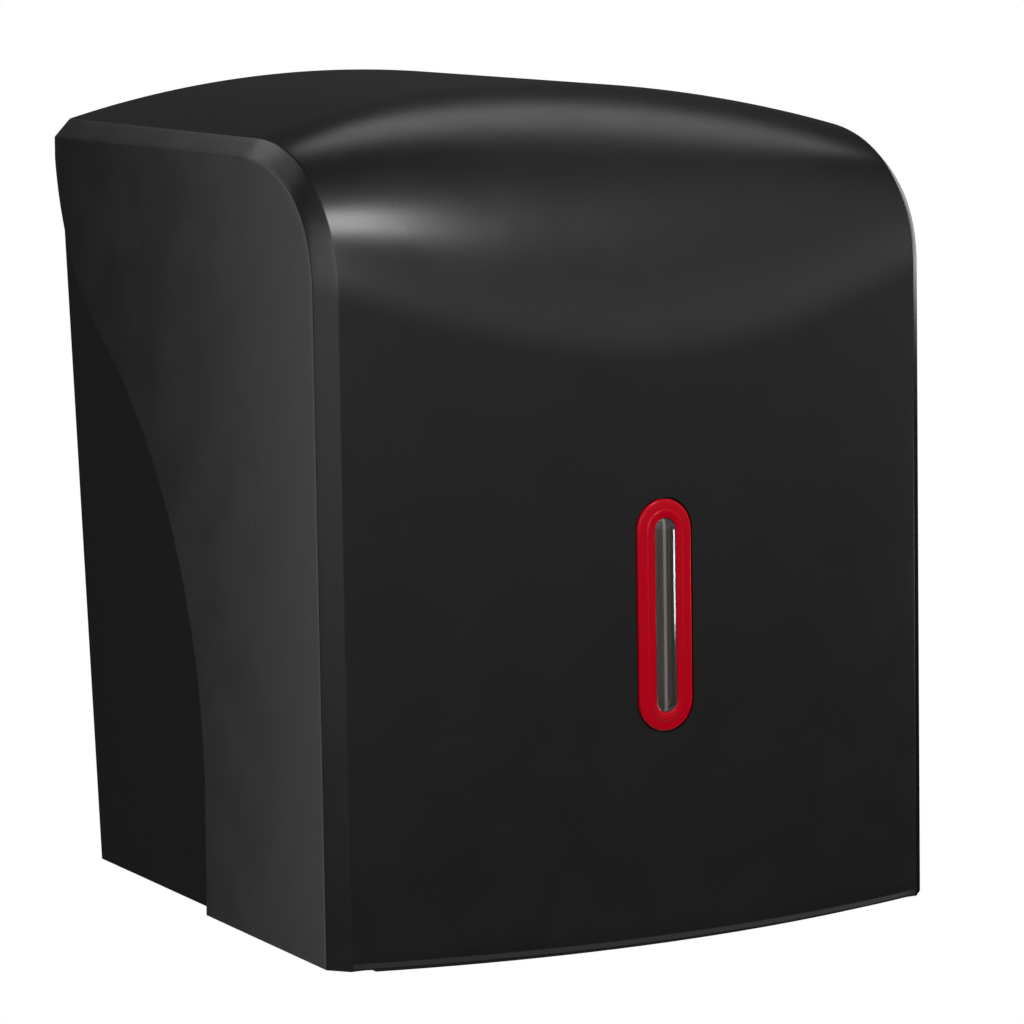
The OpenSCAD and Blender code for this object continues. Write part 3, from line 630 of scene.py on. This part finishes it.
def arc_points(centre, radius, start, end, steps):
    """A number of points on an arc in a profile, between two angles in degrees."""
    turn = np.radians(np.linspace(start, end, steps))
    return np.stack([centre[0] + radius * np.cos(turn), centre[1] + radius * np.sin(turn)], axis=1)


def bezel_solid(form):
    """The red ring: a flange with a rounded edge, a slanted step up to an inner band, and a neck behind.

    The profile is drawn as distance inwards from the outer edge and height over the front, then carried
    round. The step slants by 45 degrees, and the inner band falls a little towards the opening's rounded
    edge.
    """
    w = form.window
    under = -w.recess
    back = -form.sizes.wall - w.pad + w.gap
    r, m, b = w.edge_round, w.mouth_round, w.step_round
    step_in = (w.ring_width - w.step_width) / 2
    mouth = (w.ring_width - w.open_width) / 2
    band = w.proud + w.step
    brow = (step_in + w.step + (math.sqrt(2) - 1) * b, band - b)
    profile = np.concatenate([
        [[0, under]],
        arc_points((r, w.proud - r), r, 180, 90, steps=9),
        [[step_in, w.proud]],
        arc_points(brow, b, 135, 90, steps=5),
        arc_points((mouth - m, w.mouth_height - m), m, 86, 0, steps=8),
    ])
    stack = [(w.ring_width - 2 * o, w.ring_length - 2 * o, z) for o, z in profile]
    seat = -form.sizes.wall - w.pad + w.lens_plate
    rim = 2 * w.lens_rim + 2 * w.gap
    stack += [(w.open_width, w.open_length, seat),
              (w.open_width + rim, w.open_length + rim, seat),
              (w.open_width + rim, w.open_length + rim, back),
              (w.neck_width, w.neck_length, back), (w.neck_width, w.neck_length, under)]
    rings = ring_stack(form, stack)
    index = np.arange(rings[..., 0].size).reshape(rings.shape[:2])
    return solid(rings.reshape(-1, 3), ring_faces(np.concatenate([index, index[:1]])))


def lens_solid(form):
    """The clear lens: a plate behind the ring and a bar that fills the opening, its face a flat arc.

    A flat facet runs along each side of the face. Arcs of one small radius lead from the face to the facet
    and from the facet to the bar's side. Rings just inside the facet's edges keep it flat when shaded.
    """
    w = form.window
    back = -form.sizes.wall - w.pad
    bar_width, bar_length = w.open_width - w.gap, w.open_length - w.gap
    radius, small, tilt = w.lens_radius, w.facet_round, w.facet_tilt
    wide = bar_width / 2 - w.lens_facet * math.cos(tilt) - small
    meet = math.asin(wide / (radius - small))
    plate = (w.open_width + 2 * w.lens_rim, w.open_length + 2 * w.lens_rim)
    reach = bar_length - bar_width
    seat = back + w.lens_plate - w.gap
    stack = [(2 * w.gap, reach + 2 * w.gap, back), plate + (back,), plate + (seat,),
             (bar_width, bar_length, seat)]
    heart = np.array([0, w.lens_height - radius])
    bend = heart + (radius - small) * np.array([math.sin(meet), math.cos(meet)])
    run = w.lens_facet * np.array([math.cos(tilt), -math.sin(tilt)])
    lean, flat = 90 - math.degrees(tilt), 90 - math.degrees(meet)
    outer = arc_points(bend + run, small, 0, lean, steps=8)
    inner = arc_points(bend, small, lean, flat, steps=6)
    facet = outer[-1] + (inner[0] - outer[-1]) * np.array([[FACET_EDGE], [1 - FACET_EDGE]])
    face = arc_points(heart, radius, flat, FACE_END, steps=10)[1:]
    stack += [(2 * x, reach + 2 * x, z) for x, z in np.concatenate([outer, facet, inner, face])]
    rings = ring_stack(form, stack)
    count = rings.shape[1]
    index = np.arange(rings[..., 0].size).reshape(-1, count)
    step = np.arange(count // 2)
    fold = np.stack([step, step + 1, (count - step - 1) % count, (count - step) % count], axis=-1)
    tops = np.concatenate([index[0][fold[1:-1]], index[-1][fold[1:-1]][:, ::-1]])
    ends = np.array([[0, 1, count - 1], [count // 2 - 1, count // 2, count // 2 + 1]])
    tips = np.concatenate([index[0][ends], index[-1][ends][:, ::-1]])
    return solid(rings.reshape(-1, 3), ring_faces(index), tops, tips)


# Materials

def plain_material(name):
    """A new material, its node tree and its shader."""
    material = bpy.data.materials.new(name)
    material.use_nodes = True
    return material, material.node_tree, material.node_tree.nodes["Principled BSDF"]


def noise(tree, scale, detail=2):
    """A noise pattern on Object coordinates; the scale is in patches to the metre."""
    place = tree.nodes.new("ShaderNodeTexCoord")
    pattern = tree.nodes.new("ShaderNodeTexNoise")
    pattern.inputs["Scale"].default_value = scale
    pattern.inputs["Detail"].default_value = detail
    tree.links.new(place.outputs["Object"], pattern.inputs["Vector"])
    return pattern.outputs["Fac"]


def spread(tree, value, low, high):
    """Spreads the middle of a pattern between two values, with soft ends."""
    node = tree.nodes.new("ShaderNodeMapRange")
    node.interpolation_type = "SMOOTHSTEP"
    node.inputs["From Min"].default_value = PATTERN_LOW
    node.inputs["From Max"].default_value = PATTERN_HIGH
    node.inputs["To Min"].default_value = low
    node.inputs["To Max"].default_value = high
    tree.links.new(value, node.inputs["Value"])
    return node.outputs["Result"]


def tint(tree, value, dark, light):
    """Blends two colours by a pattern."""
    node = tree.nodes.new("ShaderNodeMix")
    node.data_type = "RGBA"
    node.inputs["A"].default_value = (*dark, 1)
    node.inputs["B"].default_value = (*light, 1)
    tree.links.new(value, node.inputs["Factor"])
    return node.outputs["Result"]


def grain(tree, shader, scale, strength, distance):
    """A fine moulded grain, as bump."""
    bump = tree.nodes.new("ShaderNodeBump")
    bump.inputs["Strength"].default_value = strength
    bump.inputs["Distance"].default_value = distance
    tree.links.new(noise(tree, scale, detail=3), bump.inputs["Height"])
    tree.links.new(bump.outputs["Normal"], shader.inputs["Normal"])


def moulded(name, base, rough, grain_size=2200, grain_depth=0.00004, cloud=14, vary=0.12, dull=0.06,
            specular=0.5, sheen=(1, 1, 1)):
    """Moulded plastic: a fine grain, slow clouds of colour and three times finer ones of gloss.

    Colour and roughness change by the shares vary and dull, up and down.
    """
    material, tree, shader = plain_material(name)
    base = np.array(base)
    shade = tint(tree, noise(tree, cloud), base * (1 - vary), np.minimum(base * (1 + vary), 1))
    gloss = spread(tree, noise(tree, cloud * 3), rough * (1 - dull), rough * (1 + dull))
    tree.links.new(shade, shader.inputs["Base Color"])
    tree.links.new(gloss, shader.inputs["Roughness"])
    shader.inputs["Specular IOR Level"].default_value = specular
    shader.inputs["Specular Tint"].default_value = (*sheen, 1)
    grain(tree, shader, grain_size, strength=0.25, distance=grain_depth)
    return material


def metal(name, base, rough, scale=900, dark=0.82, light=1.1, dull=0.3):
    """Plated metal: fine specks in its colour, its gloss and its height.

    The colour runs between the shares dark and light, and the roughness changes by dull, up and down.
    """
    material, tree, shader = plain_material(name)
    shader.inputs["Metallic"].default_value = 1
    base = np.array(base)
    specks = noise(tree, scale, detail=3)
    gloss = spread(tree, specks, rough * (1 - dull), rough * (1 + dull))
    tree.links.new(tint(tree, specks, base * dark, np.minimum(base * light, 1)), shader.inputs["Base Color"])
    tree.links.new(gloss, shader.inputs["Roughness"])
    grain(tree, shader, scale, strength=0.2, distance=0.00003)
    return material


def clear_plastic(name, base, window, streak_bright=1.45, clear=0.95, streak_clear=0.74):
    """Clear moulded plastic: light passes through, with faint waves, and a painted highlight along the window.

    The painted highlight is a band, full on its middle line and fading to both sides over half its width.
    There the colour is brighter and less of the light passes, so that it shows as a light streak on the lens.
    """
    material, tree, shader = plain_material(name)
    place = tree.nodes.new("ShaderNodeTexCoord")
    split = tree.nodes.new("ShaderNodeSeparateXYZ")
    tree.links.new(place.outputs["Object"], split.inputs["Vector"])
    off = tree.nodes.new("ShaderNodeMath")
    off.operation = "SUBTRACT"
    off.inputs[1].default_value = window.painted_streak_across
    tree.links.new(split.outputs["X"], off.inputs[0])
    away = tree.nodes.new("ShaderNodeMath")
    away.operation = "ABSOLUTE"
    tree.links.new(off.outputs["Value"], away.inputs[0])
    crest = tree.nodes.new("ShaderNodeMapRange")
    crest.interpolation_type = "SMOOTHSTEP"
    crest.inputs["From Max"].default_value = window.painted_streak_half
    crest.inputs["To Min"].default_value = 1
    crest.inputs["To Max"].default_value = 0
    tree.links.new(away.outputs["Value"], crest.inputs["Value"])
    painted_streak = crest.outputs["Result"]
    base = np.array(base)
    waves = spread(tree, noise(tree, scale=160), low=0.05, high=0.09)
    # Painted highlight: the band's colour is brighter and less light passes, for a light streak down the lens
    tree.links.new(tint(tree, painted_streak, base, base * streak_bright), shader.inputs["Base Color"])
    tree.links.new(spread(tree, painted_streak, clear, streak_clear), shader.inputs["Transmission Weight"])
    tree.links.new(waves, shader.inputs["Roughness"])
    shader.inputs["IOR"].default_value = 1.49
    grain(tree, shader, scale=220, strength=0.03, distance=0.00005)
    return material


def make_materials(f, window):
    """The finishes by the record's material slots."""
    return {
        "cover_black": moulded("satin_black", f.cover, rough=0.27),
        # The housing's darker colour and low specular are partly painted shade from the cover
        "housing_black": moulded("housing_black", f.housing, rough=0.6, specular=0.11),
        "inner_black": moulded("matt_black", f.inner, rough=0.55),
        "ring_red": moulded("glossy_red", f.ring, rough=0.16, grain_depth=0.00001, cloud=90, vary=0.05,
                            specular=0.4, sheen=(1, 0.35, 0.4)),
        "clear_window": clear_plastic("clear_window", f.lens, window),
        "bush_white": moulded("bush_white", f.bush, rough=0.42, cloud=300, vary=0.06),
        "nozzle_grey": moulded("nozzle_grey", f.nozzle, rough=0.45, cloud=60, vary=0.08),
        "steel": metal("zinc_steel", f.steel, rough=0.34),
        "lock_chrome": metal("lock_chrome", f.chrome, rough=0.16, scale=1600),
    }


FINISHES = {}


def finish_of(slot):
    """The material of a slot; all of them are made on first use."""
    if not FINISHES:
        scene = bpy.context.scene
        FINISHES.update(make_materials(scene.dispenser_finishes, scene.dispenser_window))
    return FINISHES[slot]


def cover_form():
    """The cover's form from the scene's sizes."""
    scene = bpy.context.scene
    return CoverForm(scene.dispenser_cover, scene.dispenser_window)


# Operators

class DISPENSER_OT_cover(bpy.types.Operator):
    """Builds the moulded cover with its bowed front, bevels, swept sides and hinge bosses"""
    bl_idname = "dispenser.cover"
    bl_label = "Cover"

    def execute(self, context):
        form = cover_form()
        low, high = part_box("lock_case")
        barrel = (high.z - low.z) / 2 - form.sizes.lock_flange + form.window.gap
        piece = new_piece("cover_shell", [cover_shell(form, barrel)] + hinge_forms(form),
                          finish_of("cover_black"))
        rounding = piece.modifiers.new("rounded_rims", "BEVEL")
        rounding.width = form.sizes.rim_round
        rounding.segments = 2
        rounding.limit_method = "ANGLE"
        rounding.angle_limit = RIM_ANGLE
        rounding.harden_normals = True
        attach(piece, "cover")
        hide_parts("front_cover")
        return {"FINISHED"}


class DISPENSER_OT_window(bpy.types.Operator):
    """Builds the red ring and the clear lens of the window"""
    bl_idname = "dispenser.window"
    bl_label = "Window"

    def execute(self, context):
        form = cover_form()
        for name, made, node, slot in (("window_ring", bezel_solid(form), "window_bezel", "ring_red"),
                                       ("window_bar", lens_solid(form), "window_lens", "clear_window")):
            piece = new_piece(name, [made], finish_of(slot))
            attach(piece, "cover")
            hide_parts(node)
        return {"FINISHED"}


class DISPENSER_OT_finishes(bpy.types.Operator):
    """Gives every solid that stays its finish"""
    bl_idname = "dispenser.finishes"
    bl_label = "Finishes"

    def execute(self, context):
        for entry in frame["record"]["subparts"]:
            mesh = frame["nodes"][entry["node"]].data
            mesh.materials.clear()
            mesh.materials.append(finish_of(entry["material_slot"]))
        return {"FINISHED"}


# Studio: the point that the soft boxes face, and each box's name, azimuth and elevation in degrees,
# distance and sides in metres, and glow
MIDDLE = (0, -0.12, 0)
LIGHTS = (
    ("key_box", 3, 55.3, 1.6, (0.63, 0.46), 11.5),
    ("front_fill", -8, 30, 1.8, (0.40, 1.00), 1.0),
    ("top_box", 132, 52.3, 1.7, (1.10, 0.41), 1.22),
    ("left_box", -60, 17, 1.7, (0.90, 1.50), 0.76),
    ("left_top_box", -138, 54, 1.6, (0.75, 0.42), 0.65),
    ("edge_box", -36, 27, 1.7, (0.80, 1.10), 1.4),
    ("rear_box", -166, 40, 1.7, (0.60, 0.45), 1.2),
    ("right_strip", 122, 8, 1.5, (0.30, 0.50), 1.5),
    ("lens_strip", 80.7, -7.0, 1.52, (0.09, 0.09), 12),
    ("side_card", -122.8, 9, 0.62, (0.375, 0.95), 1.0),
)


def heading(azimuth, elevation):
    """Direction towards an azimuth, counted from the front to the right, and an elevation, in degrees."""
    turn, tip = math.radians(azimuth), math.radians(elevation)
    return Vector((math.sin(turn) * math.cos(tip), -math.cos(turn) * math.cos(tip), math.sin(tip)))


def soft_box(name, azimuth, elevation, distance, size, glow):
    """A soft rectangular light that faces the middle of the object; the glow is its brightness as seen."""
    data = bpy.data.lights.new(name, "AREA")
    data.shape = "RECTANGLE"
    data.size, data.size_y = size
    data.energy = glow * math.pi * size[0] * size[1]
    light = bpy.data.objects.new(name, data)
    away = heading(azimuth, elevation)
    light.location = Vector(MIDDLE) + away * distance
    light.rotation_euler = (-away).to_track_quat("-Z", "Y").to_euler()
    light.visible_camera = False
    bpy.context.scene.collection.objects.link(light)


def studio_world():
    """Room light: white for the camera and through clear plastic, else soft in front and dim elsewhere."""
    world = bpy.data.worlds.new("studio")
    world.use_nodes = True
    tree = world.node_tree
    nodes, links = tree.nodes, tree.links
    background = nodes["Background"]
    background.inputs["Color"].default_value = (1, 1, 1, 1)
    place = nodes.new("ShaderNodeTexCoord")
    split = nodes.new("ShaderNodeSeparateXYZ")
    links.new(place.outputs["Generated"], split.inputs["Vector"])

    def fade(value, start, end, at_start, at_end):
        node = nodes.new("ShaderNodeMapRange")
        node.interpolation_type = "SMOOTHSTEP"
        node.inputs["From Min"].default_value = start
        node.inputs["From Max"].default_value = end
        node.inputs["To Min"].default_value = at_start
        node.inputs["To Max"].default_value = at_end
        links.new(value, node.inputs["Value"])
        return node.outputs["Result"]

    def times(first, second):
        node = nodes.new("ShaderNodeMath")
        node.operation = "MULTIPLY"
        links.new(first, node.inputs[0])
        links.new(second, node.inputs[1])
        return node.outputs["Value"]

    front = fade(split.outputs["Y"], start=-0.5, end=0.3, at_start=0.80, at_end=0.058)
    low = fade(split.outputs["Z"], start=-0.20, end=0.18, at_start=0.06, at_end=1)
    high = fade(split.outputs["Z"], start=0.1, end=0.6, at_start=1, at_end=0.6)
    room = times(front, times(low, high))
    path = nodes.new("ShaderNodeLightPath")
    seen = nodes.new("ShaderNodeMath")
    seen.operation = "MAXIMUM"
    links.new(path.outputs["Is Camera Ray"], seen.inputs[0])
    links.new(path.outputs["Is Transmission Ray"], seen.inputs[1])
    strength = nodes.new("ShaderNodeMix")
    strength.inputs["B"].default_value = 1
    links.new(seen.outputs["Value"], strength.inputs["Factor"])
    links.new(room, strength.inputs["A"])
    links.new(strength.outputs["Result"], background.inputs["Strength"])
    bpy.context.scene.world = world


class DISPENSER_OT_stage(bpy.types.Operator):
    """Sets the floor, the lights and the camera"""
    bl_idname = "dispenser.stage"
    bl_label = "Stage"

    def execute(self, context):
        scene = context.scene
        s = scene.dispenser_stage
        scene.view_settings.view_transform = "Standard"
        studio_world()
        ground = CAD_BOX[0][2] - s.floor_drop
        signs = ((-1, -1), (1, -1), (1, 1), (-1, 1))
        corners = [(x * s.floor_size, y * s.floor_size, ground) for x, y in signs]
        mesh = bpy.data.meshes.new("studio_floor")
        mesh.from_pydata(corners, [], [(0, 1, 2, 3)])
        pale = scene.dispenser_finishes.floor
        mesh.materials.append(moulded("studio_floor", pale, rough=0.8, grain_size=60, grain_depth=0.0002,
                                      cloud=3, vary=0.02))
        floor = bpy.data.objects.new("studio_floor", mesh)
        scene.collection.objects.link(floor)
        for light in LIGHTS:
            soft_box(*light)
        data = bpy.data.cameras.new("photo_view")
        data.lens = s.lens
        data.sensor_width = s.sensor
        data.clip_end = 50
        camera = bpy.data.objects.new("photo_view", data)
        back = heading(math.degrees(s.azimuth), math.degrees(s.elevation))
        right = Vector((math.cos(s.azimuth), math.sin(s.azimuth), 0))
        look = Matrix((right, back.cross(right), back)).transposed().to_4x4()
        camera.matrix_world = Matrix.Translation(s.place) @ look
        scene.collection.objects.link(camera)
        scene.camera = camera
        return {"FINISHED"}


OPERATORS = (DISPENSER_OT_cover, DISPENSER_OT_window, DISPENSER_OT_finishes, DISPENSER_OT_stage)
GROUPS = {
    "dispenser_cover": CoverSizes,
    "dispenser_window": WindowSizes,
    "dispenser_finishes": Finishes,
    "dispenser_stage": StageSizes,
}


class DISPENSER_PT_panel(bpy.types.Panel):
    """Lists the dispenser's sizes and its operators"""
    bl_idname = "DISPENSER_PT_panel"
    bl_label = "Centrefeed dispenser"
    bl_space_type = "VIEW_3D"
    bl_region_type = "UI"
    bl_category = "Dispenser"

    def draw(self, context):
        for operator in OPERATORS:
            self.layout.operator(operator.bl_idname)
        for attribute, group in GROUPS.items():
            box = self.layout.box()
            for key in group.__annotations__:
                box.prop(getattr(context.scene, attribute), key)


def register():
    for group in GROUPS.values():
        bpy.utils.register_class(group)
    for attribute, group in GROUPS.items():
        setattr(bpy.types.Scene, attribute, PointerProperty(type=group))
    for kind in OPERATORS + (DISPENSER_PT_panel,):
        bpy.utils.register_class(kind)


def unregister():
    for kind in (DISPENSER_PT_panel,) + OPERATORS[::-1]:
        bpy.utils.unregister_class(kind)
    for attribute in GROUPS:
        delattr(bpy.types.Scene, attribute)
    for group in reversed(GROUPS.values()):
        bpy.utils.unregister_class(group)


def main():
    """Builds every piece in order, after the box of the imported parts was noted."""
    register()
    bpy.ops.dispenser.cover()
    bpy.ops.dispenser.window()
    bpy.ops.dispenser.finishes()
    bpy.ops.dispenser.stage()
    bpy.context.view_layer.update()


if __name__ == "__main__":
    main()
